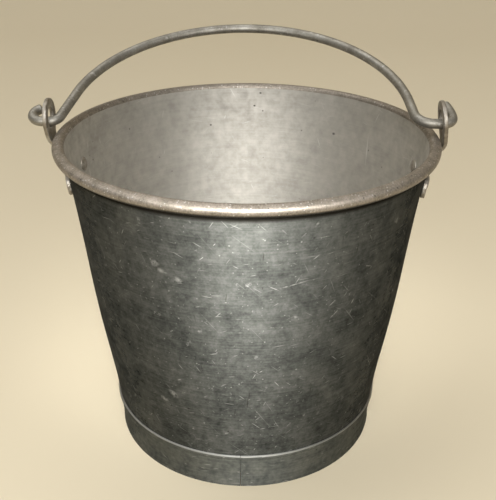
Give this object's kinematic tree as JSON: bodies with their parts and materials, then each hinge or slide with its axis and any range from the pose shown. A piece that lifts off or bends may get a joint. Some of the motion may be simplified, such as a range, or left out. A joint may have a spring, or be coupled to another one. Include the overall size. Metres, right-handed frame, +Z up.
{
  "type": "metal pail",
  "caption": "Round tapered metal pail with a curled rim, a beaded foot hoop and a wire bail that swings in riveted ears. Worn grey metal.",
  "frame": {"origin": "middle of the underside of the pail's bottom, on the pail's axis; the floor is 10 mm lower, at the foot hoop's lower edge", "axes": "+Z up along the pail's axis, X through the two ears with +X to the right ear, +Y to the back, towards which the bail leans at rest"},
  "size_m": [0.3387, 0.3004, 0.3151],
  "materials": {
    "shell": "worn, brushed and scratched, dull",
    "foot": "worn, dull, with a light bead",
    "ear": "cast, worn smooth at the edges",
    "rivet": "hammered, dull",
    "bail": "worn rod with a brownish patina"
  },
  "bodies": {
    "pail": {"pail_shell": "shell", "foot_hoop": "foot", "ear_left": "ear", "ear_right": "ear", "rivet_left_front": "rivet", "rivet_left_rear": "rivet", "rivet_right_front": "rivet", "rivet_right_rear": "rivet"},
    "bail": {"bail": "bail"}
  },
  "joints": [
    {"name": "bail_swing", "type": "hinge", "parent": "pail", "child": "bail", "pos_m": [0, 0, 0.25793], "axis": [1, 0, 0.0092], "range_deg": [-17.9, 164.9]}
  ]
}
